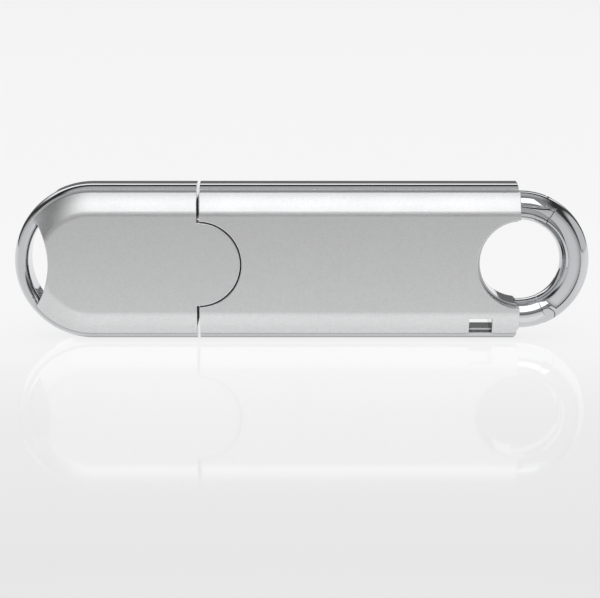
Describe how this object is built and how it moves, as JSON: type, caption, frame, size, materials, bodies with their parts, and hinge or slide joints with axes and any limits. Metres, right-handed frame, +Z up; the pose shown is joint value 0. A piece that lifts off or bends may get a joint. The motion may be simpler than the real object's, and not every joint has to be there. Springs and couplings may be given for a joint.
{
  "type": "usb flash drive",
  "caption": "Slim capped USB stick with satin covers, a chrome band and a spring-gate ring at one end.",
  "frame": {"origin": "middle of the underside of the standing drive", "axes": "+X along the drive from the cap towards the ring, +Z up, -Y towards the front cover"},
  "size_m": [0.0758, 0.0092, 0.0206],
  "materials": {
    "chrome": "polished chrome plating",
    "satin_silver": "fine satin silver",
    "black_plastic": "moulded matte black",
    "grey_plastic": "moulded matte grey",
    "board_green": "solder mask over glass fibre",
    "plug_steel": "nickel-plated sheet steel",
    "tongue_plastic": "white moulded insulator",
    "contact_gold": "gold flash over brass",
    "chip_black": "moulded epoxy",
    "tinned_lead": "tinned leads",
    "crystal_can": "metal can",
    "ceramic_tan": "fired ceramic",
    "resistor_black": "glazed ceramic",
    "pin_steel": "spring steel",
    "adhesive_film": "acrylic transfer film"
  },
  "bodies": {
    "body": {"body_frame": "chrome", "body_front_cover": "satin_silver", "body_back_cover": "satin_silver", "plug_bezel": "black_plastic", "inner_shell_front": "grey_plastic", "inner_shell_back": "grey_plastic", "circuit_board": "board_green", "usb_shell": "plug_steel", "usb_tongue": "tongue_plastic", "usb_contacts": "contact_gold", "controller_chip": "chip_black", "controller_leads": "tinned_lead", "flash_chip": "chip_black", "flash_leads": "tinned_lead", "crystal": "crystal_can", "voltage_regulator": "chip_black", "capacitors": "ceramic_tan", "resistors": "resistor_black", "gate_pin": "pin_steel", "gate_spring": "pin_steel", "body_front_adhesive": "adhesive_film", "body_back_adhesive": "adhesive_film"},
    "cap": {"cap_frame": "chrome", "cap_front_cover": "satin_silver", "cap_back_cover": "satin_silver", "cap_liner": "black_plastic", "cap_front_adhesive": "adhesive_film", "cap_back_adhesive": "adhesive_film"},
    "gate": {"gate": "chrome"}
  },
  "joints": [
    {"name": "cap_slide", "type": "slide", "parent": "body", "child": "cap", "axis": [-1, 0, 0], "range_m": [0, 0.022]},
    {"name": "gate_hinge", "type": "hinge", "parent": "body", "child": "gate", "pos_m": [0.03241, 0, 0.00303], "axis": [0, 1, 0], "range_deg": [0, 38], "stiffness_Nm_per_rad": 0.002, "springref_deg": -20.05, "deforming": ["gate_spring"]}
  ]
}
